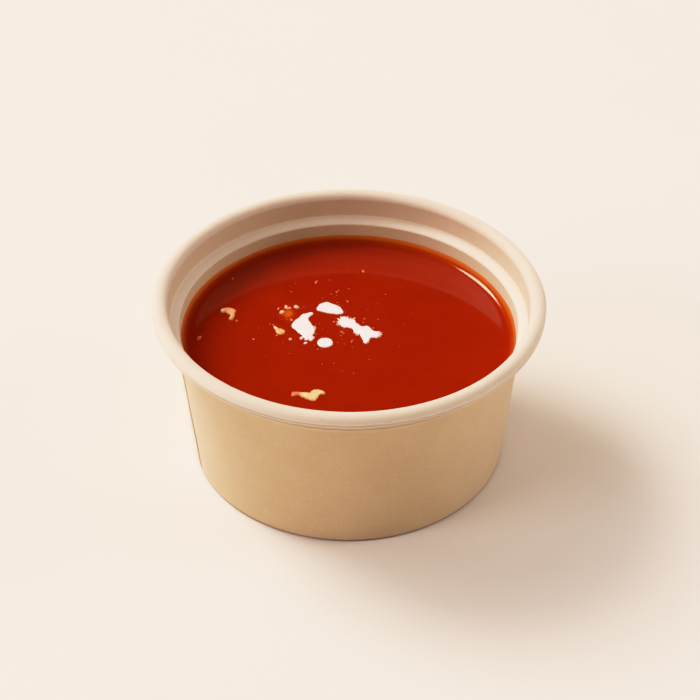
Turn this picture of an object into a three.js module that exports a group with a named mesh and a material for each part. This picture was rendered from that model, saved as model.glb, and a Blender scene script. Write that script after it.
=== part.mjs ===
// Tomato soup in a round paper tub, with pools of cream and thin flakes floating on it.
// Millimetres, +Z up. The origin is the centre of the flat base; the tub is round about Z.

import * as THREE from 'three';

// Tub: a tapered wall, a sloped lid ledge, a wider band above it and a rolled rim
const RIM_RADIUS = 57.5;
const TUB_HEIGHT = 54.5;
const BASE_RADIUS = 47.7;
const BASE_EDGE_ROUND = 0.8;
const WALL_TAPER = 0.0767; // growth of the radius for each millimetre of height
const WALL_THICKNESS = 1.4;
const FLOOR_THICKNESS = 1.2;
const FLOOR_CORNER_ROUND = 1.5;

// Ledge that a lid sits on, just inside the rim
const LEDGE_OUTER_RADIUS = 52.55;
const LEDGE_OUTER_HEIGHT = 46.4;
const LEDGE_SLOPE = 0.435; // height for each millimetre outward
const LEDGE_LIP_ROUND = 0.8;
const LEDGE_CORNER_ROUND = 0.4;
const LEDGE_THICKNESS = 0.62; // measured upright

// Band between the ledge and the rolled rim
const BAND_THICKNESS = 0.55;
const BAND_LEAN = 0.045; // outward lean of the band for each millimetre of height
const SHOULDER_ROUND = 0.7;
const SHOULDER_CORNER_ROUND = 0.3;

// Rolled rim: round above, a little flattened below
const ROLL_RADIUS = 2.37;
const ROLL_DEPTH_BELOW = 1.8;
const ROLL_STEPS_ABOVE = 8; // even, so that one point is the top of the rim
const ROLL_STEPS_BELOW = 4;

// Soup: flat in the middle, and drawn up the wall at its edge as a wetting liquid is
const SOUP_LEVEL = 38.75;
const SOUP_GAP = 0.3; // clearance to the tub's floor and wall
const MENISCUS_RISE = 2.5;
const CAPILLARY_LENGTH = 2.4;
const MENISCUS_LEAST_RISE = 0.15; // where the curve gives way to the last stretch
const MENISCUS_FADE = 1.5; // length of that stretch, down to the flat surface
const MENISCUS_STEPS = 6;

// Faceting
const TURN_SEGMENTS = 72;
const CORNER_STEPS = 3;
const OUTLINE_STEPS = 3; // spline samples for each outline point
const DROP_POINTS = 12;
const TOPPING_EDGE_STEPS = 3;

// Toppings: centre on the soup, height, roundness of the upper edge, and the outline
// round that centre, anticlockwise
const CREAM_HEIGHT = 0.7;
const CREAM_EDGE_ROUND = 0.35;
const FLAKE_HEIGHT = 0.9;
const FLAKE_EDGE_ROUND = 0.3;
const DROP_RADIUS = 2.3;
const DROP_CENTRE = [-6.9, -4.1];

const CREAM_BACK = {
  centre: [-5.8, 13.0],
  outline: [
    [-3.9, -0.3], [-3.3, -1.3], [-1.3, -2.1], [1.5, -2.9], [3.8, -2.9], [4.1, -1.5],
    [3.0, 0.7], [1.3, 1.9], [-0.4, 3.0], [-2.1, 2.6], [-3.4, 1.6],
  ],
};

const CREAM_LEFT = {
  centre: [-13.6, 3.9],
  outline: [
    [0.2, -5.2], [1.1, -6.0], [2.0, -5.4], [2.8, -4.6], [3.5, -2.8], [3.3, -0.8],
    [2.3, 1.5], [1.5, 3.2], [1.7, 4.6], [2.6, 5.8], [2.1, 6.7], [0.9, 6.3],
    [-0.2, 5.7], [-1.4, 4.0], [-2.8, 2.4], [-3.5, 0.4], [-3.0, -1.0], [-1.6, -2.6],
    [-0.7, -4.0],
  ],
};

const CREAM_RIGHT = {
  centre: [2.7, 2.4],
  outline: [
    [-3.8, 1.0], [-2.3, 0.9], [-1.2, -0.1], [-0.8, -1.6], [0.6, -2.7], [1.5, -4.3],
    [1.8, -6.4], [2.5, -7.1], [3.3, -6.1], [3.9, -4.1], [5.5, -4.1], [6.3, -2.7],
    [5.9, -1.0], [4.6, -0.4], [3.9, 1.0], [2.8, 1.8], [1.5, 1.6], [-0.3, 2.8],
    [-1.0, 4.3], [-2.3, 5.4], [-3.9, 6.3], [-5.1, 5.3], [-5.7, 3.7], [-5.1, 2.1],
  ],
};

const FLAKE_FRONT = {
  centre: [-11.0, -28.5],
  outline: [
    [-5.0, 0.5], [-4.6, -0.4], [-3.2, -0.2], [-2.3, -0.7], [-1.3, -1.3], [-0.4, -1.8],
    [0.5, -2.2], [1.4, -2.4], [2.1, -1.7], [2.6, -0.8], [3.1, 0.3], [4.5, 0.5],
    [4.2, 1.6], [3.4, 2.3], [2.0, 2.3], [0.8, 1.8], [0.1, 1.0], [-1.2, 0.9],
    [-2.9, 1.3], [-4.4, 1.4],
  ],
};

const FLAKE_LEFT = {
  centre: [-36.1, 10.1],
  outline: [
    [-2.6, 1.1], [-2.1, 0.4], [-1.2, 0.4], [-0.5, -0.4], [0.3, -0.8], [0.4, -1.8],
    [-0.2, -2.5], [0.6, -3.4], [1.3, -2.8], [1.6, -1.4], [1.6, 0.2], [2.0, 1.1],
    [1.3, 2.0], [-0.2, 2.5], [-1.5, 2.4], [-2.3, 1.9],
  ],
};

// Colours
const PAPER = { color: 0xe8d3b4, roughness: 0.75, metalness: 0 };
const SOUP = { color: 0xa81e05, roughness: 0.15, metalness: 0 };
const CREAM = { color: 0xf7ece4, roughness: 0.35, metalness: 0 };
const FLAKE = { color: 0xf2b877, roughness: 0.5, metalness: 0 };

const outerWallRadius = (z) => BASE_RADIUS + WALL_TAPER * z;
const innerWallRadius = (z) => outerWallRadius(z) - WALL_THICKNESS;

// Points of a small arc that rounds the corner of a section, from the side of before to after
function roundCorner(before, corner, after, radius) {
  const toBefore = before.clone().sub(corner).normalize();
  const toAfter = after.clone().sub(corner).normalize();
  const halfAngle = Math.acos(THREE.MathUtils.clamp(toBefore.dot(toAfter), -1, 1)) / 2;
  const reach = radius / Math.tan(halfAngle);
  const inward = toBefore.clone().add(toAfter).normalize();
  const centre = corner.clone().addScaledVector(inward, radius / Math.sin(halfAngle));
  const start = corner.clone().addScaledVector(toBefore, reach).sub(centre);
  const end = corner.clone().addScaledVector(toAfter, reach).sub(centre);
  const sweep = Math.atan2(start.cross(end), start.dot(end));
  const points = [];
  for (let i = 0; i <= CORNER_STEPS; i++) {
    const turned = start.clone().rotateAround(new THREE.Vector2(), (sweep * i) / CORNER_STEPS);
    points.push(turned.add(centre));
  }
  return points;
}

// A section whose corners are rounded; each corner is [radius from Z, height, rounding]
function roundedSection(corners) {
  const spots = corners.map(([r, z]) => new THREE.Vector2(r, z));
  return corners.flatMap(([, , rounding], i) => {
    if (!rounding) return [spots[i]];
    return roundCorner(spots[i - 1], spots[i], spots[i + 1], rounding);
  });
}

// Points of an arc of an ellipse from one angle to another
function ellipseArc(centreR, centreZ, halfWidth, halfHeight, from, to, steps) {
  const points = [];
  for (let i = 0; i <= steps; i++) {
    const angle = THREE.MathUtils.lerp(from, to, i / steps);
    const r = centreR + halfWidth * Math.cos(angle);
    const z = centreZ + halfHeight * Math.sin(angle);
    points.push(new THREE.Vector2(r, z));
  }
  return points;
}

// Section of the rolled rim, from where its underside meets the band, round the outside
// and over the top to the band's inner face
function rollSection(bandOuterRadius) {
  const r = RIM_RADIUS - ROLL_RADIUS;
  const z = TUB_HEIGHT - ROLL_RADIUS;
  const meeting = -Math.acos((bandOuterRadius - r) / ROLL_RADIUS);
  const below = ellipseArc(r, z, ROLL_RADIUS, ROLL_DEPTH_BELOW, meeting, 0, ROLL_STEPS_BELOW);
  const above = ellipseArc(r, z, ROLL_RADIUS, ROLL_RADIUS, 0, Math.PI, ROLL_STEPS_ABOVE);
  return [...below, ...above.slice(1)];
}

// Whole section of the tub, from the middle of the underside round to the middle of the floor
function tubSection() {
  const lipRadius = innerWallRadius(LEDGE_OUTER_HEIGHT);
  const lipHeight = LEDGE_OUTER_HEIGHT - LEDGE_SLOPE * (LEDGE_OUTER_RADIUS - lipRadius);
  const shoulderRadius = LEDGE_OUTER_RADIUS + BAND_THICKNESS;
  const shoulderHeight = LEDGE_OUTER_HEIGHT + LEDGE_SLOPE * BAND_THICKNESS - LEDGE_THICKNESS;
  const underRadius = outerWallRadius(LEDGE_OUTER_HEIGHT);
  const underHeight = shoulderHeight - LEDGE_SLOPE * (shoulderRadius - underRadius);
  const rollCentreHeight = TUB_HEIGHT - ROLL_RADIUS;
  const bandOuterTop = shoulderRadius + BAND_LEAN * (rollCentreHeight - shoulderHeight);
  const roll = rollSection(bandOuterTop);
  const rollStart = roll[0];
  const rollEnd = roll[roll.length - 1];
  const outside = roundedSection([
    [0, 0, 0],
    [BASE_RADIUS, 0, BASE_EDGE_ROUND],
    [underRadius, underHeight, SHOULDER_CORNER_ROUND],
    [shoulderRadius, shoulderHeight, SHOULDER_ROUND],
    [rollStart.x, rollStart.y, 0],
  ]);
  const inside = roundedSection([
    [rollEnd.x, rollEnd.y, 0],
    [LEDGE_OUTER_RADIUS, LEDGE_OUTER_HEIGHT, LEDGE_CORNER_ROUND],
    [lipRadius, lipHeight, LEDGE_LIP_ROUND],
    [innerWallRadius(FLOOR_THICKNESS), FLOOR_THICKNESS, FLOOR_CORNER_ROUND],
    [0, FLOOR_THICKNESS, 0],
  ]);
  return [...outside, ...roll.slice(1), ...inside.slice(1)];
}

// Distance from the wall at which a meniscus stands at the given rise above the flat surface
function meniscusReach(rise) {
  const doubled = 2 * CAPILLARY_LENGTH;
  const curve = (h) => CAPILLARY_LENGTH * Math.acosh(doubled / h) - Math.sqrt(doubled ** 2 - h ** 2);
  return curve(rise) - curve(MENISCUS_RISE);
}

// Section of the soup, from the middle of its underside round to the middle of its surface
function soupSection() {
  const bottom = FLOOR_THICKNESS + SOUP_GAP;
  const edgeHeight = SOUP_LEVEL + MENISCUS_RISE;
  const edgeRadius = innerWallRadius(edgeHeight) - SOUP_GAP;
  const body = roundedSection([
    [0, bottom, 0],
    [innerWallRadius(bottom) - SOUP_GAP, bottom, FLOOR_CORNER_ROUND],
    [edgeRadius, edgeHeight, 0],
  ]);
  const surface = [];
  for (let i = 1; i < MENISCUS_STEPS; i++) {
    const share = i / (MENISCUS_STEPS - 1);
    const rise = MENISCUS_RISE * (MENISCUS_LEAST_RISE / MENISCUS_RISE) ** share;
    surface.push(new THREE.Vector2(edgeRadius - meniscusReach(rise), SOUP_LEVEL + rise));
  }
  const last = surface.at(-1);
  surface.push(new THREE.Vector2(last.x - MENISCUS_FADE, SOUP_LEVEL));
  return [...body, ...surface, new THREE.Vector2(0, SOUP_LEVEL)];
}

// Solid of revolution about Z from a section of [radius, height] points
function turned(section) {
  const geometry = new THREE.LatheGeometry(section, TURN_SEGMENTS);
  geometry.rotateX(Math.PI / 2);
  return geometry;
}

// Closed smooth outline through the given points
function smoothOutline(outline) {
  const knots = outline.map(([x, y]) => new THREE.Vector3(x, y, 0));
  const curve = new THREE.CatmullRomCurve3(knots, true, 'centripetal');
  const points = [];
  const count = outline.length * OUTLINE_STEPS;
  for (let i = 0; i < count; i++) {
    const point = curve.getPoint(i / count);
    points.push(new THREE.Vector2(point.x, point.y));
  }
  return points;
}

// The outline moved inward by a small distance, point by point
function insetOutline(outline, distance) {
  const count = outline.length;
  return outline.map((point, i) => {
    const along = outline[(i + 1) % count].clone().sub(outline[(i + count - 1) % count]);
    const inward = new THREE.Vector2(-along.y, along.x).normalize();
    return point.clone().addScaledVector(inward, distance);
  });
}

// Flat-bottomed pool or flake: an upright edge that rounds over to a flat top
function toppingGeometry(outline, height, edgeRound) {
  const rings = [{ points: outline, z: 0 }];
  for (let i = 0; i <= TOPPING_EDGE_STEPS; i++) {
    const angle = (Math.PI / 2) * (i / TOPPING_EDGE_STEPS);
    const points = insetOutline(outline, edgeRound * (1 - Math.cos(angle)));
    rings.push({ points, z: height - edgeRound * (1 - Math.sin(angle)) });
  }
  const positions = rings.flatMap(({ points, z }) => points.flatMap((p) => [p.x, p.y, z]));
  const count = outline.length;
  const indices = [];
  for (let ring = 0; ring < rings.length - 1; ring++) {
    for (let i = 0; i < count; i++) {
      const a = ring * count + i;
      const b = ring * count + ((i + 1) % count);
      indices.push(a, b, b + count, a, b + count, a + count);
    }
  }
  const top = (rings.length - 1) * count;
  for (const [a, b, c] of THREE.ShapeUtils.triangulateShape(rings.at(-1).points, [])) {
    indices.push(top + a, top + b, top + c);
  }
  for (const [a, b, c] of THREE.ShapeUtils.triangulateShape(outline, [])) {
    indices.push(a, c, b);
  }
  const geometry = new THREE.BufferGeometry();
  geometry.setAttribute('position', new THREE.Float32BufferAttribute(positions, 3));
  geometry.setIndex(indices);
  geometry.computeVertexNormals();
  return geometry;
}

// Outline of a round drop
function dropOutline() {
  return Array.from({ length: DROP_POINTS }, (_, i) => {
    const angle = (2 * Math.PI * i) / DROP_POINTS;
    return [DROP_RADIUS * Math.cos(angle), DROP_RADIUS * Math.sin(angle)];
  });
}

function namedMesh(name, geometry, finish) {
  const mesh = new THREE.Mesh(geometry, new THREE.MeshStandardMaterial(finish));
  mesh.name = name;
  return mesh;
}

function floatingMesh(name, { centre, outline }, height, edgeRound, finish) {
  const geometry = toppingGeometry(smoothOutline(outline), height, edgeRound);
  const mesh = namedMesh(name, geometry, finish);
  mesh.position.set(centre[0], centre[1], SOUP_LEVEL);
  return mesh;
}

const creamMesh = (name, shape) => floatingMesh(name, shape, CREAM_HEIGHT, CREAM_EDGE_ROUND, CREAM);
const flakeMesh = (name, shape) => floatingMesh(name, shape, FLAKE_HEIGHT, FLAKE_EDGE_ROUND, FLAKE);

const group = new THREE.Group();
group.add(
  namedMesh('container', turned(tubSection()), PAPER),
  namedMesh('soup', turned(soupSection()), SOUP),
  creamMesh('cream_back', CREAM_BACK),
  creamMesh('cream_left', CREAM_LEFT),
  creamMesh('cream_right', CREAM_RIGHT),
  creamMesh('cream_drop', { centre: DROP_CENTRE, outline: dropOutline() }),
  flakeMesh('flake_front', FLAKE_FRONT),
  flakeMesh('flake_left', FLAKE_LEFT),
);

export default group;
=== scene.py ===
"""Tomato soup in a round paper tub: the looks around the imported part.

The tub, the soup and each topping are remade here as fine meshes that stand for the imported
part's plain solids, in the same frame and in metres. Crumbs, drops and specks that are too
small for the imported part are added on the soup.
"""

import math

import bmesh
import bpy
import numpy as np
from mathutils import Matrix, Vector, noise


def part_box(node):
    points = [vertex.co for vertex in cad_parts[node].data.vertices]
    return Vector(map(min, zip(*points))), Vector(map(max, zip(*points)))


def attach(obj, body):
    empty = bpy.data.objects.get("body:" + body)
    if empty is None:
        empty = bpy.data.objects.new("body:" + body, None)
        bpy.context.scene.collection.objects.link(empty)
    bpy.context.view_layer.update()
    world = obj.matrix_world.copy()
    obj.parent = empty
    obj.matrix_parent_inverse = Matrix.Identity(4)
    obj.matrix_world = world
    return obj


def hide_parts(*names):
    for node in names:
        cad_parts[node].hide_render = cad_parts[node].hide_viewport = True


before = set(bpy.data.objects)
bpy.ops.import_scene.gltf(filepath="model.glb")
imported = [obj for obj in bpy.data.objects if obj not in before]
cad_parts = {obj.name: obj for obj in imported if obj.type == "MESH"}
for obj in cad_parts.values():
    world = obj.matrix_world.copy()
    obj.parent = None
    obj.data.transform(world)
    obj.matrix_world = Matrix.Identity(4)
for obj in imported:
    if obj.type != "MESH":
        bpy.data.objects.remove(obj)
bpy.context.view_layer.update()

MM = 0.001
MERGE_DISTANCE = 1e-6

# Tub
TUB_COLUMNS = 360
SECTION_SUPPORT = 0.5 * MM  # straight spans are held straight up to this far from their ends
SECTION_STEP = 3 * MM
CURVE_SAMPLES = 3
PAPER_UNEVENNESS = 0.09 * MM
LEDGE_CORNER_REACH = 0.85 * MM  # how far from the corner of ledge and band the paper starts to turn
SEAM_AZIMUTH = 200.5  # degrees from +X towards +Y
SEAM_LEAN = -6  # degrees that the seam goes round from the base to the rim
SEAM_STEP = 0.3 * MM
SEAM_EDGE_ANGLE = 0.06  # degrees that the cut edge of the paper takes
SEAM_FLAT_ANGLE = 8  # degrees over which the outer ply stands fully proud
SEAM_FADE_ANGLE = 12  # degrees over which it then sinks into the wall
SEAM_FOOT = (1.2 * MM, 2.5 * MM)  # heights at which the seam starts, and is full
BASE_PAINTED_SHADE = (1.1 * MM, 0.6 * MM)  # heights at which the painted shade round the base, where it meets the floor, starts, and is full

# Where each zone of the tub starts and where it is full, as distances below the tub's top
SEAM_HEAD = (4.4 * MM, 5.2 * MM)
# The pale rim reaches down over the cut edge's lip, as a painted highlight on the lip
ROLL_ZONE = (3.4 * MM, 3.0 * MM)
BAND_TOP = (1.8 * MM, 2.4 * MM)
BAND_FOOT = (7.9 * MM, 7.4 * MM)
LEDGE_TOP = (8.1 * MM, 8.8 * MM)
LEDGE_FOOT = (9.9 * MM, 9.5 * MM)
ABOVE_LEDGE = (8.8 * MM, 7.9 * MM)

# Lines of painted shade round the outside, in the creases under the rolled rim: distance below the
# tub's top, how far they reach, and strength
PAINTED_SHADE_LINES = [(3.55 * MM, 0.35 * MM, 0.65), (2.4 * MM, 0.35 * MM, 0.5)]
# Painted highlight on the crease round the band: distance below the tub's top, how far it reaches, and
# strength
PAINTED_HIGHLIGHT_LINE = (7.45 * MM, 0.35 * MM, 0.4)
# Strength of the painted shade on the face of the seam's step
SEAM_PAINTED_SHADE = 0.3

# How pale the paper is: 0 is bare paper, 1 the palest lining. On top of the lining, the ledge is paler
# as painted light, the band inside less pale as painted shade, and the seam's outer ply paler as a
# painted highlight
WALL_LINING = 0.16
LEDGE_LINING_AND_LIGHT = 0.7
BAND_LINING_AND_SHADE = 0.26
RIM_LINING = 0.6
SEAM_PAINTED_HIGHLIGHT = 0.55

# The rolled rim's cut edge: offsets in mm from its widest point, from the inside of the roll outwards
ROLL_LIP = [
    (-1.1, -1.48), (-0.65, -1.13), (-0.47, -0.83), (-0.26, -0.72), (-0.17, -0.56),
    (-0.24, -0.38), (-0.42, -0.22), (-0.38, -0.04), (-0.2, 0.15), (-0.05, 0.5),
]
# Crease round the foot of the band: offsets in mm from the band's lower end, upwards
BAND_CREASE = [(0.05, 0.3), (0.22, 0.5), (0.21, 0.68), (0.06, 0.86), (0.05, 1.05)]

# Soup
SOUP_COLUMNS = 300
SOUP_SIDE_RINGS = 16
SOUP_INTO_WALL = 0.15 * MM
SOUP_GLOSS_TINT = (1, 0.6, 0.26, 1)
MENISCUS_RINGS = 40
MENISCUS_WIDTH = 4.3 * MM
MENISCUS_FALL = 1.0 * MM  # over this distance from the wall the slope falls to about a third
SURFACE_RINGS = 60
SURFACE_SWELL = 0.02 * MM

# Toppings
GRID_STEP = 0.1 * MM
TOPPING_SINK = 0.15 * MM
CREAM_THICKNESS = 0.3 * MM
CREAM_MARGIN = 3 * MM  # how far past its node a pool's grid goes
FLAKE_MARGIN = 1.2 * MM
BEAD_COLUMNS = 12
BEAD_RINGS = 4

# Where along X or Y a topping starts to change, and where it has changed fully
CREAM_LEFT_RAGGED_Y = (1.5 * MM, -2.5 * MM)
FLAKE_FRONT_TOAST_X = (-12.6 * MM, -14.6 * MM)
FLAKE_FRONT_BLUSH_X = (-7.6 * MM, -6.6 * MM)
FLAKE_LEFT_TOAST_Y = (10.5 * MM, 12.5 * MM)
FLAKE_LEFT_BLUSH_X = (-37.4 * MM, -38.2 * MM)

# Oily orange patch in the soup
OIL_CENTRE = (-18.3 * MM, 10.2 * MM)
OIL_STRETCH = (1.1, 0.75)

# Streaks of cream: x, y and radius of one end, then of the other, in mm
CREAM_LEFT_LOBES = [
    (-12.2, 9.2, 0.7, -11.5, 10.1, 0.75),
    (-14.0, 8.6, 0.7, -13.6, 9.7, 0.35),
    (-12.9, 0.2, 1.0, -12.2, -2.3, 0.6),
    (-11.8, 0.2, 1.0, -11.2, -1.0, 0.6),
    (-12.6, -4.2, 0.42, -12.9, -4.5, 0.3),
]

# Fans of fine streaks: x and y of the middle, first and last angle in degrees, how many,
# how far the shortest and the longest reach, and how thick they are, in mm
CREAM_LEFT_WHISKERS = [
    (-12.2, -0.2, 215, 330, 14, 2.0, 3.3, 0.2),
    (-12.2, 3.0, -55, 20, 7, 1.9, 2.5, 0.16),
]
CREAM_RIGHT_WHISKERS = [
    (-0.8, 6.2, 5, 130, 15, 2.2, 3.4, 0.16),
    (-0.8, 6.2, 140, 268, 15, 2.1, 3.1, 0.16),
    (8.2, 0.4, -75, 60, 10, 1.2, 1.9, 0.16),
    (3.4, 1.6, 185, 250, 7, 1.5, 2.4, 0.14),
]

# Small drop of creamy oil, as two streaks, and the part of the plan that it lies in
SMALL_DROP_STREAKS = [
    (-20.2, 1.0, 1.3, -20.5, 1.4, 1.15),
    (-20.9, 1.7, 0.75, -22.0, 3.3, 0.38),
]
SMALL_DROP_CORNERS = ((-23.2 * MM, -1.6 * MM), (-18 * MM, 4.6 * MM))
SMALL_DROP_HEIGHT = 0.45 * MM
SMALL_DROP_SHOULDER = 0.7 * MM  # how far in from its edge it reaches that height

# Crumbs: x, y, length and width in mm, and turn in degrees
PLACED_CRUMBS = [
    (-18.9, 13.2, 1.9, 0.9, 115),
    (-17.9, 12.8, 0.9, 0.7, 20),
    (-20.2, 10.7, 1.8, 1.2, 50),
    (-15.9, 13.4, 1.7, 1.1, 140),
    (-17.2, 6.8, 0.7, 0.6, 0),
    (-17.2, -2.7, 0.95, 0.85, 0),
]
CRUMB_HEIGHT = 0.45 * MM
CRUMB_LIFT = 0.05 * MM

# Specks that stand out: x, y and radius in mm, and how much longer they are than wide
PLACED_SPECKS = [
    (-21.3, 12.7, 0.42, 1.7), (-22.5, 4.5, 0.25, 1.6), (-21.3, -0.6, 0.28, 1.4),
    (-3.7, 21.5, 0.36, 1.3), (-10.1, 26.7, 0.45, 1.9), (4.5, 32.8, 0.45, 1.7),
    (-0.4, 16.7, 0.3, 1.5), (-2.0, 1.2, 0.5, 1.1), (-1.5, 0.6, 0.3, 1.0), (-4.4, 6.3, 0.35, 1.2),
    (1.0, -3.2, 0.25, 3.0), (-9.0, -7.2, 0.28, 1.2), (-33.6, 6.4, 0.35, 1.2), (-44.2, -2.2, 0.6, 1.8),
    (7.3, 3.3, 0.25, 1.4), (4.7, 7.9, 0.28, 1.3), (-36.2, 28.2, 0.3, 1.5), (-28.1, -2.6, 0.3, 1.0),
]

# Specks at random: how many, and in mm where their middle lies, how far they spread, and radii
SPECK_COUNT = 90
SPECK_CENTRE = (-6, 8)
SPECK_SPREAD = (11, 13)
SPECK_RADII = (0.07, 0.17)

# Studio
FLOOR_HALF = 40  # metres
FLOOR_TONES = ((240, 238, 234), (242, 240, 236))

# Surround: glows of light, each with the way it lies and its colour
GLOW_SPAN = (-0.2, 0.9)  # cosine from that way at which a glow starts, and at which it is full
GLOWS = [
    (Vector((-0.3, 0.6, 0.74)).normalized(), (0.57, 0.455, 0.405)),
    (Vector((0, -0.3, 1)).normalized(), (0.15, 0.09, 0.03)),
]

# Lamps: name, colour, power in watts, disk's width and distance in metres, azimuth from +X
# towards +Y and elevation in degrees, and whether all light shows it, gloss alone or matt alone
LAMPS = [
    ("key", (1.0, 0.755, 0.615), 360, 2.6, 6.0, 145, 43, "all"),
    ("key_halo", (1.0, 0.755, 0.615), 205, 4.8, 6.0, 149, 44, "matt"),
    ("glint", (0.66, 0.78, 1.0), 720, 2.6, 6.0, 151, 44, "gloss"),
    ("fill_right", (1.0, 0.83, 0.75), 20, 1.0, 2.0, 5, 16, "matt"),
    ("fill_left", (1.0, 0.79, 0.78), 17, 1.0, 2.0, 203, 25, "matt"),
]

# Tone curve
TONE_KNEE = 0.4
TONE_RANGE = 2.5
TONE_POINTS = 26

# Camera
CAMERA_TARGET = Vector((0.443, 0, 32.95)) * MM
CAMERA_DISTANCE = 470 * MM
CAMERA_ELEVATION = 37.98  # degrees
CAMERA_ROLL = 0.42  # degrees
CAMERA_LENS = 80.75  # mm, as the sensor's width is
CAMERA_SENSOR = 36

rng = np.random.default_rng(7)


# ---------------------------------------------------------------- small tools


def srgb(red, green, blue):
    """Linear colour of an 8-bit screen colour."""
    def linear(c):
        c /= 255
        return c / 12.92 if c <= 0.04045 else ((c + 0.055) / 1.055) ** 2.4
    return (linear(red), linear(green), linear(blue), 1)


def smoothstep(low, high, value):
    t = np.clip((value - low) / (high - low), 0, 1)
    return t * t * (3 - 2 * t)


def near(value, centre, reach):
    """1 at the centre, falling to 0 at the reach on either side."""
    return 1 - smoothstep(0, reach, abs(value - centre))


def wobble(x, y, scale, seed):
    """Smooth noise from about -1 to 1 at each point, with features of the given size."""
    flat = zip(np.ravel(x), np.ravel(y))
    values = [noise.noise(Vector((a / scale, b / scale, seed))) for a, b in flat]
    return np.reshape(values, np.shape(x))


def new_piece(name, vertices, faces, material, slot, stands_for=(), **attributes):
    """A smooth-shaded mesh piece that rides on the part, with a float attribute for each keyword."""
    mesh = bpy.data.meshes.new(name)
    mesh.from_pydata([tuple(v) for v in vertices], [], [tuple(f) for f in faces])
    mesh.update()
    mesh.shade_smooth()
    for key, values in attributes.items():
        layer = mesh.attributes.new(key, "FLOAT", "POINT")
        layer.data.foreach_set("value", np.asarray(values, np.float32))
    mesh.materials.append(material)
    piece = bpy.data.objects.new(name, mesh)
    bpy.context.scene.collection.objects.link(piece)
    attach(piece, "root")
    if stands_for:
        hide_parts(*stands_for)
    return piece


# ---------------------------------------------------------------- sections of turned pieces


def turned_section(node):
    """Half section of a turned node as (radius, height) points, from its underside round."""
    bm = bmesh.new()
    bm.from_mesh(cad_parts[node].data)
    bmesh.ops.remove_doubles(bm, verts=bm.verts, dist=MERGE_DISTANCE)
    cut = {v for v in bm.verts if abs(v.co.x) < MERGE_DISTANCE and v.co.y < MERGE_DISTANCE}
    links = {v: [e.other_vert(v) for e in v.link_edges if e.other_vert(v) in cut] for v in cut}
    chain = [min((v for v in cut if len(links[v]) == 1), key=lambda v: v.co.z)]
    while True:
        onward = [v for v in links[chain[-1]] if v not in chain[-2:]]
        if not onward:
            break
        chain.append(onward[0])
    points = [Vector((-v.co.y, v.co.z)) for v in chain]
    bm.free()
    return points


def supported(points):
    """The points with more of them on the long spans, so that a curve stays straight there."""
    spots = [points[0]]
    for a, b in zip(points, points[1:]):
        length = (b - a).length
        if length > 4 * SECTION_SUPPORT:
            edge = SECTION_SUPPORT / length
            inner = max(1, round(length / SECTION_STEP))
            shares = np.linspace(edge, 1 - edge, inner + 1)
            spots += [a.lerp(b, t) for t in shares]
        spots.append(b)
    return spots


def with_soft_ledge(section):
    """The section with the corner where the ledge meets the band eased into a wider curve."""
    top = max(range(len(section)), key=lambda i: section[i][1])
    steps = [b - a for a, b in zip(section, section[1:])]
    steep = next(i for i in range(top, len(steps)) if abs(steps[i][1]) > 2 * abs(steps[i][0]))
    ledge = next(i for i in range(steep, len(steps)) if abs(steps[i][0]) > 1.5 * abs(steps[i][1]))
    band = max(range(steep, ledge), key=lambda i: steps[i].length)
    band_way = -steps[band].normalized()
    slope = max(range(ledge, ledge + 3), key=lambda i: steps[i].length)
    ledge_way = steps[slope].normalized()
    above, inward = section[band], section[slope + 1]
    run = steps[slope]
    along = (above - inward).cross(run) / band_way.cross(run)
    corner = above - band_way * along
    start = corner + band_way * LEDGE_CORNER_REACH
    end = corner + ledge_way * LEDGE_CORNER_REACH
    bend = [start.lerp(corner, t).lerp(corner.lerp(end, t), t) for t in np.linspace(0, 1, 7)]
    return section[:band + 1] + bend + section[slope + 1:]


def with_fine_edges(section):
    """The section with the paper's cut edge on the rolled rim, and a crease round the band."""
    top = max(range(len(section)), key=lambda i: section[i][1])
    wide = max(range(top + 1), key=lambda i: section[i][0])
    lip = [section[wide] + Vector(offset) * MM for offset in ROLL_LIP]
    lengths = [(b - a).length for a, b in zip(section, section[1:])]
    wall = max(range(1, wide), key=lambda i: lengths[i])
    band = max(range(wall + 1, wide), key=lambda i: lengths[i])
    crease = [section[band] + Vector(offset) * MM for offset in BAND_CREASE]
    return section[:band + 1] + crease + section[band + 1:wide - 1] + lip + section[wide + 1:]


def smooth_curve(spots):
    """Centripetal Catmull-Rom curve through the spots, sampled more finely where it bends."""
    ends = [2 * spots[0] - spots[1], *spots, 2 * spots[-1] - spots[-2]]
    curve = []
    for p0, p1, p2, p3 in zip(ends, ends[1:], ends[2:], ends[3:]):
        bend = max((p1 - p0).angle(p2 - p1, 0), (p2 - p1).angle(p3 - p2, 0))
        samples = CURVE_SAMPLES if bend > math.radians(2) else 1
        t1 = (p1 - p0).length ** 0.5
        t2 = t1 + (p2 - p1).length ** 0.5
        t3 = t2 + (p3 - p2).length ** 0.5
        for i in range(samples):
            t = t1 + (t2 - t1) * i / samples
            a1 = p0.lerp(p1, t / t1)
            a2 = p1.lerp(p2, (t - t1) / (t2 - t1))
            a3 = p2.lerp(p3, (t - t2) / (t3 - t2))
            b1 = a1.lerp(a2, t / t2)
            b2 = a2.lerp(a3, (t - t1) / (t3 - t1))
            curve.append(b1.lerp(b2, (t - t1) / (t2 - t1)))
    curve.append(spots[-1])
    return curve


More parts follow.
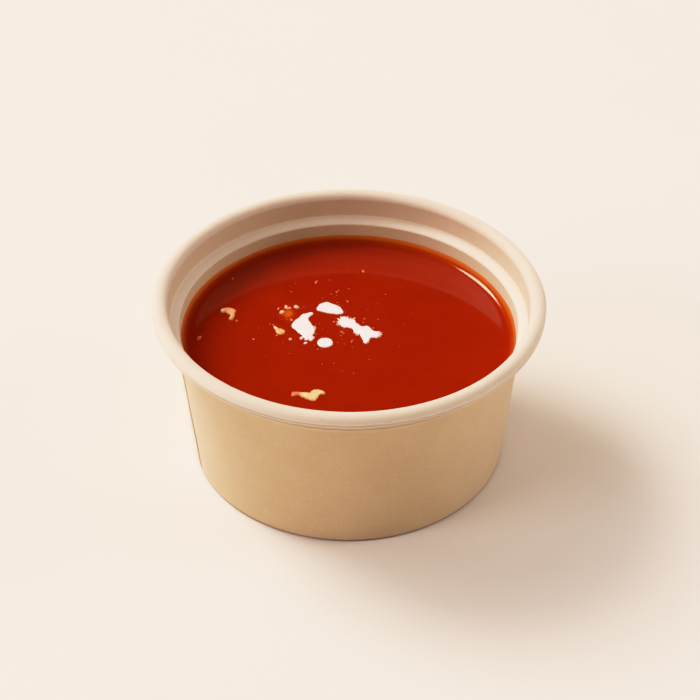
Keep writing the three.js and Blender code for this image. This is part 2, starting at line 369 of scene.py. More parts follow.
def turned_mesh(section, azimuths):
    """Vertices and faces of a section turned about Z: its first and last points lie on the axis."""
    inner = section[1:-1]
    radius = np.array([p[0] for p in inner])
    height = np.array([p[1] for p in inner])
    angle = np.radians(azimuths)[:, None]
    heights = np.broadcast_to(height, (len(azimuths), len(inner)))
    ring = np.stack([radius * np.cos(angle), radius * np.sin(angle), heights], axis=-1)
    vertices = [*ring.reshape(-1, 3), (0, 0, section[0][1]), (0, 0, section[-1][1])]
    first, last = len(vertices) - 2, len(vertices) - 1
    count = len(inner)
    faces = []
    for i in range(len(azimuths)):
        j = (i + 1) % len(azimuths)
        faces.append((first, j * count, i * count))
        for k in range(count - 1):
            a, b = i * count + k, j * count + k
            faces.append((a, b, b + 1, a + 1))
        faces.append((i * count + count - 1, j * count + count - 1, last))
    return np.array(vertices), faces


# ---------------------------------------------------------------- shader helpers


class Shader:
    """A material's node tree, with short ways to add nodes and wire them."""

    def __init__(self, name, **principled):
        self.material = bpy.data.materials.new(name)
        self.material.use_nodes = True
        self.tree = self.material.node_tree
        self.surface = next(n for n in self.tree.nodes if n.type == "BSDF_PRINCIPLED")
        for key, value in principled.items():
            self.surface.inputs[key.replace("_", " ")].default_value = value
        self.place = self.add("ShaderNodeTexCoord").outputs["Object"]

    def add(self, kind, inputs=(), **settings):
        made = self.tree.nodes.new(kind)
        for key, value in settings.items():
            setattr(made, key, value)
        for key, value in dict(inputs).items():
            if isinstance(value, bpy.types.NodeSocket):
                self.tree.links.new(value, made.inputs[key])
            else:
                made.inputs[key].default_value = value
        return made

    def noise(self, size, detail=2, roughness=0.5):
        inputs = {"Vector": self.place, "Scale": 1 / size, "Detail": detail, "Roughness": roughness}
        return self.add("ShaderNodeTexNoise", inputs).outputs["Fac"]

    def maths(self, operation, *values):
        return self.add("ShaderNodeMath", dict(enumerate(values)), operation=operation).outputs[0]

    def spread(self, value, low, high, to_low=0.0, to_high=1.0, smooth=True):
        """value from low to high becomes to_low to to_high."""
        kind = "SMOOTHSTEP" if smooth else "LINEAR"
        inputs = {0: value, 1: low, 2: high, 3: to_low, 4: to_high}
        return self.add("ShaderNodeMapRange", inputs, interpolation_type=kind).outputs[0]

    def blend(self, share, a, b):
        """Colour a where share is 0, colour b where it is 1."""
        return self.add("ShaderNodeMix", {0: share, 6: a, 7: b}, data_type="RGBA").outputs[2]

    def attribute(self, name):
        return self.add("ShaderNodeAttribute", attribute_name=name).outputs["Fac"]

    def radius(self, centre=(0, 0), stretch=(1, 1)):
        """Distance from a point on the plan, in metres, with X and Y scaled."""
        at = self.add("ShaderNodeSeparateXYZ", {0: self.place}).outputs
        x = self.maths("MULTIPLY", self.maths("SUBTRACT", at["X"], centre[0]), stretch[0])
        y = self.maths("MULTIPLY", self.maths("SUBTRACT", at["Y"], centre[1]), stretch[1])
        squares = self.maths("ADD", self.maths("POWER", x, 2.0), self.maths("POWER", y, 2.0))
        return self.maths("SQRT", squares)

    def colour(self, value):
        self.tree.links.new(value, self.surface.inputs["Base Color"])

    def roughness(self, value):
        self.tree.links.new(value, self.surface.inputs["Roughness"])

    def bump(self, height, distance, strength=1.0):
        inputs = {"Height": height, "Distance": distance, "Strength": strength}
        made = self.add("ShaderNodeBump", inputs)
        self.tree.links.new(made.outputs[0], self.surface.inputs["Normal"])


# ---------------------------------------------------------------- materials


def paper_material():
    """Pale brown paper with a fine grain and short fibres, paler where it is lined. Light and shade are
    painted on it too: paler on the ledge, a crease and the seam's outer ply, and dark brown on the
    seam's step, round the base and in creases under the rim.
    """
    s = Shader("tub_paper", Specular_IOR_Level=0.25, Sheen_Weight=0.36, Sheen_Roughness=0.5)
    clouds = s.noise(14 * MM, 3)
    grain = s.noise(0.7 * MM, 4, 0.7)
    wide = s.spread(clouds, 0.3, 0.7)
    colour = s.blend(wide, srgb(192, 166, 125), srgb(197, 172, 132))
    dark_grain = s.spread(grain, 0.5, 0.25, 0, 0.35)
    colour = s.blend(dark_grain, colour, srgb(178, 149, 111))
    light_grain = s.spread(grain, 0.55, 0.75, 0, 0.5)
    colour = s.blend(light_grain, colour, srgb(216, 199, 171))
    for size, tint, strength in (
        (3.1 * MM, srgb(228, 213, 188), 0.16),
        (3.7 * MM, srgb(166, 132, 94), 0.16),
    ):
        line = s.maths("ABSOLUTE", s.maths("SUBTRACT", s.noise(size, 1), 0.5))
        broken = s.spread(s.noise(size * 0.6, 1), 0.52, 0.6)
        fibre = s.maths("MULTIPLY", s.spread(line, 0.022, 0.004, 0, strength), broken)
        colour = s.blend(fibre, colour, tint)
    lining = s.blend(wide, srgb(238, 230, 219), srgb(242, 234, 223))
    lining = s.blend(s.spread(grain, 0.5, 0.25, 0, 0.25), lining, srgb(196, 176, 150))
    lining = s.blend(s.spread(grain, 0.55, 0.75, 0, 0.35), lining, srgb(230, 222, 208))
    # Paler lining, which also paints light on the ledge, on a crease round the band and on the seam's
    # outer ply
    colour = s.blend(s.attribute("lining"), colour, lining)
    # Painted shade: dark brown on the seam's step, round the base where it meets the floor, and in the
    # creases under the rolled rim
    colour = s.blend(s.attribute("dark"), colour, srgb(112, 78, 50))
    s.colour(colour)
    s.roughness(s.spread(grain, 0.2, 0.8, 0.62, 0.82))
    s.bump(s.maths("ADD", grain, s.maths("MULTIPLY", s.noise(2.4 * MM, 3), 0.8)), 0.03 * MM, 0.6)
    return s.material


def soup_material(wall_radius):
    """Deep red soup, orange where it thins out up the wall, with an oily orange patch."""
    s = Shader(
        "tomato_soup", Roughness=0.09, IOR=1.36, Specular_IOR_Level=0.42, Specular_Tint=SOUP_GLOSS_TINT,
    )
    tone = s.spread(s.noise(11 * MM, 3, 0.55), 0.3, 0.7)
    colour = s.blend(tone, srgb(128, 22, 1), srgb(132, 25, 2))
    grain = s.spread(s.noise(0.5 * MM, 3, 0.6), 0.35, 0.7, 0, 0.25)
    colour = s.blend(grain, colour, srgb(140, 31, 4))
    patch = s.radius(OIL_CENTRE, OIL_STRETCH)
    uneven = s.spread(s.noise(2.6 * MM, 3), 0.2, 0.8, -0.8 * MM, 0.8 * MM, smooth=False)
    patch = s.maths("ADD", patch, uneven)
    halo = s.spread(patch, 4.2 * MM, 1.2 * MM, 0, 0.6)
    colour = s.blend(halo, colour, srgb(158, 34, 4))
    heart = s.spread(patch, 2.3 * MM, 0.4 * MM, 0, 0.9)
    colour = s.blend(heart, colour, srgb(192, 86, 4))
    rim = s.radius()
    thin = s.spread(rim, wall_radius - 2.4 * MM, wall_radius - 0.5 * MM)
    colour = s.blend(thin, colour, srgb(144, 44, 1))
    edge = s.spread(rim, wall_radius - 1.0 * MM, wall_radius, 0, 0.95)
    colour = s.blend(edge, colour, srgb(202, 100, 34))
    s.colour(colour)
    s.bump(s.noise(1.6 * MM, 3, 0.6), 0.008 * MM, 0.5)
    return s.material


def cream_material():
    """White cream that turns peach at its thin edge."""
    s = Shader("cream", Roughness=0.35, Specular_IOR_Level=0.4)
    tone = s.spread(s.noise(1.8 * MM, 3), 0.3, 0.7)
    colour = s.blend(tone, srgb(252, 243, 248), srgb(255, 249, 254))
    depth = s.attribute("depth")
    edge = s.spread(depth, 0.22 * MM, 0.0, 0, 0.6)
    colour = s.blend(edge, colour, srgb(246, 186, 152))
    s.colour(colour)
    s.bump(s.noise(0.9 * MM, 3), 0.02 * MM, 0.5)
    return s.material


def flake_material():
    """Thin toasted flakes: pale yellow to golden orange, pink where the soup shows through."""
    s = Shader("flake", Roughness=0.5, Specular_IOR_Level=0.35)
    toast = s.maths("ADD", s.attribute("toast"), s.spread(s.noise(0.8 * MM, 3), 0.2, 0.8, -0.4, 0.4))
    colour = s.blend(s.spread(toast, 0.1, 0.55), srgb(255, 204, 146), srgb(250, 162, 86))
    colour = s.blend(s.spread(toast, 0.55, 1.0), colour, srgb(226, 100, 30))
    olive = s.spread(s.noise(1.1 * MM, 3), 0.54, 0.66, 0, 0.4)
    colour = s.blend(olive, colour, srgb(196, 150, 66))
    edge = s.spread(s.attribute("depth"), 0.3 * MM, 0.0, 0, 0.45)
    colour = s.blend(edge, colour, srgb(246, 136, 74))
    colour = s.blend(s.attribute("blush"), colour, srgb(253, 204, 184))
    s.colour(colour)
    s.bump(s.noise(0.5 * MM, 3, 0.6), 0.05 * MM, 0.6)
    return s.material


def bead_material(name, low, high):
    """Tiny drops whose colour varies a little from one to the next."""
    s = Shader(name, Roughness=0.3, Specular_IOR_Level=0.4)
    tone = s.spread(s.noise(2.5 * MM, 2), 0.35, 0.65)
    s.colour(s.blend(tone, low, high))
    s.bump(s.noise(0.3 * MM, 2), 0.01 * MM, 0.5)
    return s.material


def floor_material():
    """Smooth warm white studio surface."""
    s = Shader("floor", Roughness=0.9, Specular_IOR_Level=0.1)
    tone = s.spread(s.noise(0.16, 3), 0.3, 0.7)
    low, high = FLOOR_TONES
    s.colour(s.blend(tone, srgb(*low), srgb(*high)))
    return s.material


# ---------------------------------------------------------------- tub


def seam_height(azimuths):
    """How far the outer ply stands proud, at each azimuth in degrees: it ends in a step."""
    before = (SEAM_AZIMUTH - azimuths) % 360
    height = 1 - smoothstep(SEAM_FLAT_ANGLE, SEAM_FLAT_ANGLE + SEAM_FADE_ANGLE, before)
    return SEAM_STEP * height


def make_tub(section):
    """The paper tub: the node's section turned finely, uneven as paper is, with its side seam.

    The seam leans, so the whole mesh is wound a little round the axis on its way up.
    """
    around = np.arange(TUB_COLUMNS) * 360 / TUB_COLUMNS + 0.5
    seam = SEAM_AZIMUTH + np.array([-0.3, 0, SEAM_EDGE_ANGLE, 0.35])
    azimuths = np.sort(np.concatenate([around, seam]))
    curve = smooth_curve(supported(with_fine_edges(with_soft_ledge(section))))
    curve = [Vector((r, max(z, 0))) for r, z in curve]
    top = max(range(len(curve)), key=lambda i: curve[i][1])
    vertices, faces = turned_mesh(curve, azimuths)

    count = len(curve) - 2
    ring = vertices[:-2].reshape(len(azimuths), count, 3)
    radius = np.hypot(ring[..., 0], ring[..., 1])
    height = ring[..., 2]
    rim_height = height.max()
    outside = np.arange(count)[None, :] < top - 1
    below_rim = rim_height - height
    on_wall = smoothstep(*SEAM_FOOT, height) * smoothstep(*SEAM_HEAD, below_rim)
    lift = seam_height(azimuths)[:, None] * on_wall * outside
    uneven = np.array([
        noise.fractal(Vector(p) / (9 * MM), 1.0, 2.0, 3) for p in ring.reshape(-1, 3)
    ]).reshape(height.shape)
    steady = smoothstep(0, 1.5 * MM, height)
    sag = PAPER_UNEVENNESS * (np.clip(uneven, -1, 1) - 1) / 2 * steady
    scale = (radius + lift + sag) / radius
    turn = np.radians(azimuths[:, None] + SEAM_LEAN * (height / rim_height - 0.5))
    ring[..., 0] = radius * scale * np.cos(turn)
    ring[..., 1] = radius * scale * np.sin(turn)

    vertices[:-2] = ring.reshape(-1, 3)

    # Painted shade on the face of the seam's step
    cut = SEAM_PAINTED_SHADE * np.isin(azimuths, seam[1:3])[:, None] * on_wall
    # Painted shade round the base, where it meets the floor
    foot = smoothstep(*BASE_PAINTED_SHADE, height)
    # Painted shade in the creases under the rolled rim
    lines = sum(strength * near(below_rim, centre, reach) for centre, reach, strength in PAINTED_SHADE_LINES)
    dark = np.maximum(np.maximum(cut, foot), lines) * outside

    # Inside: the pale lining, paler still on the ledge as painted light, and less pale on the band
    # below the rim as painted shade
    on_band = smoothstep(*BAND_FOOT, below_rim) * smoothstep(*BAND_TOP, below_rim)
    on_ledge = smoothstep(*LEDGE_FOOT, below_rim) * smoothstep(*LEDGE_TOP, below_rim)
    above_ledge = smoothstep(*ABOVE_LEDGE, below_rim)
    inside_lining = (
        WALL_LINING + (LEDGE_LINING_AND_LIGHT - WALL_LINING) * on_ledge
        + (RIM_LINING - WALL_LINING) * above_ledge - (RIM_LINING - BAND_LINING_AND_SHADE) * on_band
    )
    # Painted highlight line on the crease round the band
    centre, reach, strength = PAINTED_HIGHLIGHT_LINE
    painted_highlight_line = strength * near(below_rim, centre, reach)
    # Outside: the pale lining on the rolled rim, reaching over the lip as a painted highlight
    outside_lining = RIM_LINING * smoothstep(*ROLL_ZONE, below_rim) + painted_highlight_line
    # Painted highlight on the seam's outer ply
    seam_highlight_strip = seam_height(azimuths)[:, None] / SEAM_STEP
    outside_lining = np.maximum(outside_lining, SEAM_PAINTED_HIGHLIGHT * seam_highlight_strip)
    lining_and_light_share = np.where(outside, outside_lining, inside_lining)
    return new_piece(
        "tub", vertices, faces, paper_material(), "tub_paper", ["container"],
        dark=[*dark.ravel(), 0, 0], lining=[*lining_and_light_share.ravel(), 0, WALL_LINING],
    )


# ---------------------------------------------------------------- soup


def soup_level():
    """Height of the soup's flat surface, on which the cream floats."""
    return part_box("cream_drop")[0].z


def wall_line(section):
    """The tub's inner wall as a function that gives its radius at a height."""
    top = max(range(len(section)), key=lambda i: section[i][1])
    inside = section[top:][::-1]
    heights = [p[1] for p in inside if p[0] > 0]
    radii = [p[0] for p in inside if p[0] > 0]
    return lambda z: float(np.interp(z, heights, radii))


def meniscus(rise):
    """Distances from the wall, and the surface's rise at each: from the wall to the flat soup."""
    away = np.linspace(0, MENISCUS_WIDTH, MENISCUS_RINGS)
    slope = np.exp(-away / MENISCUS_FALL) * (1 - smoothstep(MENISCUS_WIDTH / 2, MENISCUS_WIDTH, away))
    steps = (slope[1:] + slope[:-1]) / 2 * np.diff(away)
    height = np.concatenate([np.cumsum(steps[::-1])[::-1], [0]])
    return away, height * rise / height[0]


def make_soup(wall_radius_at):
    """The soup, from the tub's floor to its surface, which is drawn up the wall at its edge."""
    low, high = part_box("soup")
    level = soup_level()
    rise = high.z - level
    contact = wall_radius_at(high.z)
    depths = np.linspace(low.z, high.z, SOUP_SIDE_RINGS)
    side = [Vector((wall_radius_at(z) + SOUP_INTO_WALL, z)) for z in depths]
    surface = [Vector((contact - away, level + up)) for away, up in zip(*meniscus(rise))]
    flat_radius = contact - MENISCUS_WIDTH
    flat = [Vector((r, level)) for r in np.linspace(flat_radius, 0, SURFACE_RINGS + 1)[1:]]
    section = [Vector((0, low.z)), *side, *surface, *flat]
    vertices, faces = turned_mesh(section, np.arange(SOUP_COLUMNS) * 360 / SOUP_COLUMNS)
    on_top = (vertices[:, 2] > level - 1e-7) & (np.hypot(vertices[:, 0], vertices[:, 1]) < contact)
    swell = wobble(vertices[:, 0], vertices[:, 1], 13 * MM, 4.0)
    vertices[:, 2] += np.where(on_top, SURFACE_SWELL * swell, 0)
    vertices[:, 2] = np.minimum(vertices[:, 2], high.z)
    return new_piece("tomato_soup", vertices, faces, soup_material(contact), "soup", ["soup"])


# ---------------------------------------------------------------- toppings on a grid


def outline_of(node):
    """Outline of a topping's flat underside, in order, as an array of x and y."""
    bm = bmesh.new()
    bm.from_mesh(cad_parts[node].data)
    bmesh.ops.remove_doubles(bm, verts=bm.verts, dist=MERGE_DISTANCE)
    bm.normal_update()
    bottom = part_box(node)[0].z
    links = {}
    for e in bm.edges:
        facing = sorted(f.normal.z for f in e.link_faces)
        if all(v.co.z < bottom + MERGE_DISTANCE for v in e.verts) and facing[0] < -0.5 < facing[1]:
            a, b = e.verts
            links.setdefault(a, []).append(b)
            links.setdefault(b, []).append(a)
    loop = [next(iter(links))]
    while True:
        onward = [v for v in links[loop[-1]] if v not in loop[-2:] and v is not loop[0]]
        if not onward:
            break
        loop.append(onward[0])
    points = np.array([v.co[:2] for v in loop])
    bm.free()
    return points


def depth_in_outline(outline, x, y):
    """Distance inside a closed outline, negative outside it."""
    a, b = outline, np.roll(outline, -1, axis=0)
    px, py = x[..., None], y[..., None]
    ex, ey = b[:, 0] - a[:, 0], b[:, 1] - a[:, 1]
    t = np.clip(((px - a[:, 0]) * ex + (py - a[:, 1]) * ey) / (ex ** 2 + ey ** 2), 0, 1)
    away = np.hypot(px - a[:, 0] - t * ex, py - a[:, 1] - t * ey).min(axis=-1)
    crosses = (a[:, 1] > py) != (b[:, 1] > py)
    reach = a[:, 0] + (py - a[:, 1]) * ex / np.where(ey == 0, 1, ey)
    inside = (crosses & (px < reach)).sum(axis=-1) % 2 == 1
    return np.where(inside, away, -away)


def depth_in_streak(start, end, x, y):
    """Distance inside a streak from one (x, y, radius) to another, negative outside it."""
    ex, ey = end[0] - start[0], end[1] - start[1]
    t = np.clip(((x - start[0]) * ex + (y - start[1]) * ey) / max(ex ** 2 + ey ** 2, 1e-12), 0, 1)
    away = np.hypot(x - start[0] - t * ex, y - start[1] - t * ey)
    return start[2] + (end[2] - start[2]) * t - away


def grid_mesh(x, y, depth, height, base):
    """Closed mesh over the part of a grid where depth is positive.

    Its top stands at height, falling to nothing at the edge, and its underside is flat at base.
    """
    columns = x.shape[1]
    spots, index, edge_depth = [], {}, []

    def corner(i):
        if i not in index:
            index[i] = len(spots)
            spots.append((x.flat[i], y.flat[i], height.flat[i]))
            edge_depth.append(depth.flat[i])
        return index[i]

    def crossing(i, j):
        key = (min(i, j), max(i, j))
        if key not in index:
            a, b = key
            t = depth.flat[a] / (depth.flat[a] - depth.flat[b])
            t = min(max(t, 0.02), 0.98)
            index[key] = len(spots)
            at_x = x.flat[a] + t * (x.flat[b] - x.flat[a])
            at_y = y.flat[a] + t * (y.flat[b] - y.flat[a])
            spots.append((at_x, at_y, 0))
            edge_depth.append(0)
        return index[key]

    faces = []
    for row in range(x.shape[0] - 1):
        for column in range(columns - 1):
            a = row * columns + column
            b, c, d = a + 1, a + columns + 1, a + columns
            for triangle in ((a, b, c), (a, c, d)):
                inside = [depth.flat[i] > 0 for i in triangle]
                if not any(inside):
                    continue
                face = []
                for k in range(3):
                    here, after = triangle[k], triangle[(k + 1) % 3]
                    if inside[k]:
                        face.append(corner(here))
                    if inside[k] != inside[(k + 1) % 3]:
                        face.append(crossing(here, after))
                faces.append(face)

    surface = soup_level()
    count = len(spots)
    vertices = [(px, py, surface + pz) for px, py, pz in spots]
    vertices += [(px, py, base) for px, py, _ in spots]
    edges = {(f[k], f[(k + 1) % len(f)]) for f in faces for k in range(len(f))}
    skirt = [(b, a, a + count, b + count) for a, b in edges if (b, a) not in edges]
    underside = [[i + count for i in reversed(f)] for f in faces]
    return vertices, faces + underside + sorted(skirt), np.concatenate([edge_depth, edge_depth])


def streak(x, y, radius, end_x, end_y, end_radius):
    """A streak's two ends, from millimetres on the plan."""
    return (x * MM, y * MM, radius * MM), (end_x * MM, end_y * MM, end_radius * MM)


def rounded(depth, full, width):
    """Height of a pool's surface at a depth inside its edge: round at the edge, then flat."""
    t = 1 - np.clip(depth / width, 0, 1)
    return full * np.sqrt(1 - t ** 2)


def pool_grid(low, high, margin):
    """Grid over the plan from one corner to the other, and a margin beyond."""
    xs = np.arange(low[0] - margin, high[0] + margin, GRID_STEP)
    ys = np.arange(low[1] - margin, high[1] + margin, GRID_STEP)
    return np.meshgrid(xs, ys)


def make_cream(node, raggedness, streaks, material):
    """A pool of cream in place of a node, with a ragged edge and fine streaks round it.

    raggedness gives how far the edge strays at each x and y.
    """
    low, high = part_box(node)
    x, y = pool_grid(low, high, CREAM_MARGIN)
    depth = depth_in_outline(outline_of(node), x, y)
    rough = raggedness(x, y)
    depth = depth + rough * (0.5 * wobble(x, y, 1.4 * MM, 1.5) + 0.35 * wobble(x, y, 0.5 * MM, 2.5))
    for start, end in streaks:
        depth = np.maximum(depth, depth_in_streak(start, end, x, y))
    height = rounded(depth, CREAM_THICKNESS, 0.5 * MM) * (1 + 0.08 * wobble(x, y, 2.2 * MM, 3.5))
    height = np.clip(height, 0, high.z - low.z)
    vertices, faces, inner = grid_mesh(x, y, depth, height, low.z - TOPPING_SINK)
    return new_piece(node + "_pool", vertices, faces, material, "cream", [node], depth=inner)


def whiskers(x, y, first, last, count, inner, outer, thickness):
    """Fine streaks that splay out from a point on the plan, between two angles in degrees."""
    centre = np.array([x * MM, y * MM])
    inner, outer, thickness = inner * MM, outer * MM, thickness * MM
    made = []
    for angle in np.radians(np.linspace(first, last, count) + rng.uniform(-5, 5, count)):
        reach = rng.uniform(inner, outer)
        way = np.array([math.cos(angle), math.sin(angle)])
        bend = np.array([-way[1], way[0]]) * rng.uniform(-0.3, 0.3) * MM
        end = centre + way * reach + bend
        made.append(((*centre, thickness * 1.6), (*end, thickness * rng.uniform(0.5, 1.1))))
    return made


def make_flake(node, toast, blush, material):
    """A thin crinkled flake in place of a node.

    toast and blush give how browned and how pink it is at each x and y.
    """
    low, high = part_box(node)
    x, y = pool_grid(low, high, FLAKE_MARGIN)
    depth = depth_in_outline(outline_of(node), x, y)
    depth = depth + 0.32 * MM * wobble(x, y, 0.9 * MM, 5.5) + 0.2 * MM * wobble(x, y, 0.35 * MM, 6.5)
    crinkle = 0.55 + 0.22 * wobble(x, y, 1.3 * MM, 7.5) + 0.14 * wobble(x, y, 0.5 * MM, 8.5)
    height = rounded(depth, high.z - low.z, 0.45 * MM) * np.clip(crinkle, 0.2, 1)
    vertices, faces, inner = grid_mesh(x, y, depth, height, low.z - TOPPING_SINK)
    spots = np.array(vertices)
    browned = toast(spots[:, 0], spots[:, 1])
    pinked = blush(spots[:, 0], spots[:, 1])
    return new_piece(
        node + "_crisp", vertices, faces, material, "flake", [node],
        depth=inner, toast=browned, blush=pinked,
    )


# ---------------------------------------------------------------- crumbs, drops and specks


def add_bead(vertices, faces, centre, radii, tall, turn):
    """Adds a low closed bead with an uneven oval outline, sunk a little in the soup."""
    around, rings = BEAD_COLUMNS, BEAD_RINGS
    start = len(vertices)
    surface = soup_level()
    for ring in range(rings):
        slope = (math.pi / 2) * ring / rings
        for i in range(around):
            angle = 2 * math.pi * i / around
            spot = Vector((3 * math.cos(angle), 3 * math.sin(angle), start * 0.37))
            uneven = 1 + 0.22 * noise.noise(spot)
            a, b = radii[0] * math.cos(angle), radii[1] * math.sin(angle)
            wide = uneven * math.cos(slope)
            px = centre[0] + wide * (a * math.cos(turn) - b * math.sin(turn))
            py = centre[1] + wide * (a * math.sin(turn) + b * math.cos(turn))
            vertices.append((px, py, surface + tall * math.sin(slope)))
    vertices.append((centre[0], centre[1], surface + tall))
    crown = len(vertices) - 1
    for i in range(around):
        px, py, _ = vertices[start + i]
        vertices.append((px, py, surface - TOPPING_SINK))
    foot = crown + 1
    for i in range(around):
        j = (i + 1) % around
        for ring in range(rings - 1):
            a, b = start + ring * around + i, start + ring * around + j
            faces.append((a, b, b + around, a + around))
        last = start + (rings - 1) * around
        faces.append((last + i, last + j, crown))
        faces.append((foot + i, foot + j, start + j, start + i))
    faces.append(tuple(foot + i for i in reversed(range(around))))


def make_specks():
    """Fine foam specks and flecks that lie all over the middle of the soup."""
    vertices, faces = [], []
    for x, y, radius, longer in PLACED_SPECKS:
        radii = (radius * MM, radius * longer * MM)
        add_bead(vertices, faces, (x * MM, y * MM), radii, min(radii) * 0.5, rng.uniform(-0.4, 0.4))
    for _ in range(SPECK_COUNT):
        x, y = rng.normal(SPECK_CENTRE, SPECK_SPREAD)
        radius = rng.uniform(*SPECK_RADII) * MM
        radii = (radius, radius * rng.uniform(0.9, 1.6))
        add_bead(vertices, faces, (x * MM, y * MM), radii, radius * 0.5, rng.uniform(0, math.pi))
    material = bead_material("speck", srgb(182, 70, 48), srgb(206, 104, 78))
    return new_piece("specks", vertices, faces, material, "cream")


def make_crumbs(material):
    """Golden crumbs round the oily patch, each a small uneven lump."""
    bm = bmesh.new()
    surface = soup_level()
    for x, y, length, width, turn in PLACED_CRUMBS:
        made = bmesh.ops.create_icosphere(bm, subdivisions=4, radius=1)["verts"]
        for v in made:
            v.co *= 1 + 0.35 * noise.fractal(v.co * 1.6 + Vector((x, y, 0)), 1.0, 2.0, 3)
        size = Matrix.Diagonal((length / 2 * MM, width / 2 * MM, CRUMB_HEIGHT, 1))
        turned = Matrix.Rotation(math.radians(turn), 4, "Z")
        place = Matrix.Translation((x * MM, y * MM, surface + CRUMB_LIFT))
        bmesh.ops.transform(bm, matrix=place @ turned @ size, verts=made)
    vertices = [v.co.copy() for v in bm.verts]
    bm.verts.index_update()
    faces = [[v.index for v in f.verts] for f in bm.faces]
    bm.free()
    return new_piece(
        "crumbs", vertices, faces, material, "flake",
        depth=np.full(len(vertices), 0.25 * MM),
        toast=np.full(len(vertices), 0.5),
        blush=np.full(len(vertices), 0.4),
    )


def make_small_drop():
    """Peach-coloured drop of creamy oil with a tail."""
    x, y = pool_grid(*SMALL_DROP_CORNERS, 0)
    body, tail = [depth_in_streak(*streak(*ends), x, y) for ends in SMALL_DROP_STREAKS]
    depth = np.maximum(body, tail) + 0.12 * MM * wobble(x, y, 1.0 * MM, 9.5)
    height = rounded(depth, SMALL_DROP_HEIGHT, SMALL_DROP_SHOULDER)
    surface = soup_level()
    vertices, faces, _ = grid_mesh(x, y, depth, height, surface - TOPPING_SINK)
    material = bead_material("peach_oil", srgb(255, 158, 90), srgb(255, 178, 112))
    return new_piece("small_drop", vertices, faces, material, "cream")


# ---------------------------------------------------------------- toppings, floor, light, camera


def make_toppings():
    """Everything that floats on the soup. The order matters: later pieces draw later random numbers."""
    cream = cream_material()
    flake = flake_material()
    make_cream("cream_back", lambda x, y: 0.55 * MM, [], cream)
    streaks = [streak(*ends) for ends in CREAM_LEFT_LOBES]
    for fan in CREAM_LEFT_WHISKERS:
        streaks += whiskers(*fan)
    make_cream(
        "cream_left",
        lambda x, y: (0.3 + 0.5 * smoothstep(*CREAM_LEFT_RAGGED_Y, y)) * MM,
        streaks,
        cream,
    )
    streaks = []
    for fan in CREAM_RIGHT_WHISKERS:
        streaks += whiskers(*fan)
    make_cream("cream_right", lambda x, y: 0.7 * MM, streaks, cream)
    make_cream("cream_drop", lambda x, y: 0.12 * MM, [], cream)
    make_flake(
        "flake_front",
        lambda x, y: 1.05 * smoothstep(*FLAKE_FRONT_TOAST_X, x) + 0.1,
        lambda x, y: 0.5 * smoothstep(*FLAKE_FRONT_BLUSH_X, x),
        flake,
    )
    make_flake(
        "flake_left",
        lambda x, y: 0.35 + 0.5 * smoothstep(*FLAKE_LEFT_TOAST_Y, y),
        lambda x, y: smoothstep(*FLAKE_LEFT_BLUSH_X, x),
        flake,
    )
    make_crumbs(flake)
    make_small_drop()
    make_specks()


def make_floor():
    half = FLOOR_HALF
    corners = [(-half, -half, 0), (half, -half, 0), (half, half, 0), (-half, half, 0)]
    mesh = bpy.data.meshes.new("floor")
    mesh.from_pydata(corners, [], [(0, 1, 2, 3)])
    mesh.materials.append(floor_material())
    floor = bpy.data.objects.new("floor", mesh)
    bpy.context.scene.collection.objects.link(floor)


def make_surround():
    """Soft surround, brighter behind and above, that gloss doesn't mirror."""
    world = bpy.data.worlds.new("surround")
    world.use_nodes = True
    nodes, links = world.node_tree.nodes, world.node_tree.links
    way = nodes.new("ShaderNodeTexCoord").outputs["Generated"]
    light = None
    for centre, colour in GLOWS:
        along = nodes.new("ShaderNodeVectorMath")
        along.operation = "DOT_PRODUCT"
        along.inputs[1].default_value = centre
        links.new(way, along.inputs[0])
        share = nodes.new("ShaderNodeMapRange")
        share.interpolation_type = "SMOOTHSTEP"
        share.inputs[1].default_value, share.inputs[2].default_value = GLOW_SPAN
        links.new(along.outputs["Value"], share.inputs[0])
        glow = nodes.new("ShaderNodeVectorMath")
        glow.operation = "MULTIPLY_ADD"
        glow.inputs[0].default_value = colour
        links.new(share.outputs[0], glow.inputs[1])
        if light:
            links.new(light, glow.inputs[2])
        light = glow.outputs[0]
    links.new(light, nodes["Background"].inputs["Color"])
    world.cycles_visibility.glossy = False
    bpy.context.scene.world = world


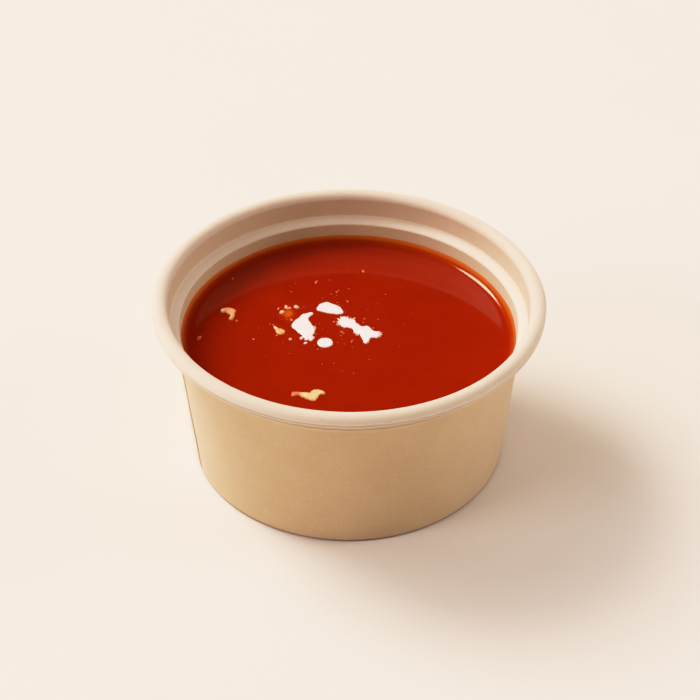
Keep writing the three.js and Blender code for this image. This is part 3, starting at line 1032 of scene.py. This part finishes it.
def make_lamp(name, colour, power, width, distance, azimuth, elevation, seen_in):
    """A disk lamp that faces the camera's target."""
    light = bpy.data.lights.new(name, "AREA")
    light.shape = "DISK"
    light.size = width
    light.energy = power
    light.color = colour
    lamp = bpy.data.objects.new(name, light)
    turn, rise = math.radians(azimuth), math.radians(elevation)
    way = Vector((math.cos(turn) * math.cos(rise), math.sin(turn) * math.cos(rise), math.sin(rise)))
    lamp.location = CAMERA_TARGET + way * distance
    lamp.rotation_mode = "QUATERNION"
    lamp.rotation_quaternion = way.to_track_quat("Z", "Y")
    lamp.visible_glossy = seen_in != "matt"
    lamp.visible_diffuse = seen_in != "gloss"
    bpy.context.scene.collection.objects.link(lamp)


def make_lights():
    """A key behind on the left with a wider halo and a glint, and a low fill from either side."""
    make_surround()
    for lamp in LAMPS:
        make_lamp(*lamp)


def make_camera():
    """Camera looking along +Y and down, rolled by a fraction of a degree."""
    rise, roll = math.radians(CAMERA_ELEVATION), math.radians(CAMERA_ROLL)
    back = Vector((0, -math.cos(rise), math.sin(rise)))
    right = Vector((1, 0, 0))
    up = back.cross(right)
    across = right * math.cos(roll) + up * math.sin(roll)
    upward = up * math.cos(roll) - right * math.sin(roll)
    lens = bpy.data.cameras.new("camera")
    lens.lens = CAMERA_LENS
    lens.sensor_width = CAMERA_SENSOR
    lens.clip_start = 10 * MM
    camera = bpy.data.objects.new("camera", lens)
    turn = Matrix((across, upward, back)).transposed().to_4x4()
    camera.matrix_world = Matrix.Translation(CAMERA_TARGET + back * CAMERA_DISTANCE) @ turn
    bpy.context.scene.collection.objects.link(camera)
    bpy.context.scene.camera = camera


def set_tone_curve():
    """Straight in the darks and mid tones, then bent over softly towards white, as a camera's is."""
    view = bpy.context.scene.view_settings
    view.view_transform = "Standard"
    view.use_curve_mapping = True
    mapping = view.curve_mapping
    mapping.white_level = (TONE_RANGE,) * 3
    curve = mapping.curves[3]
    for share in np.linspace(0, 1, TONE_POINTS):
        value = float(share) * TONE_RANGE
        if value > TONE_KNEE:
            room = 1 - TONE_KNEE
            value = 1 - room * math.exp((TONE_KNEE - value) / room)
        if share in (0, 1):
            curve.points[-1 if share else 0].location = (float(share), value)
        else:
            curve.points.new(float(share), value)
    mapping.update()


make_camera()
make_lights()
make_floor()
tub_section = turned_section("container")
make_tub(tub_section)
make_soup(wall_line(tub_section))
make_toppings()
set_tone_curve()

bpy.context.view_layer.update()
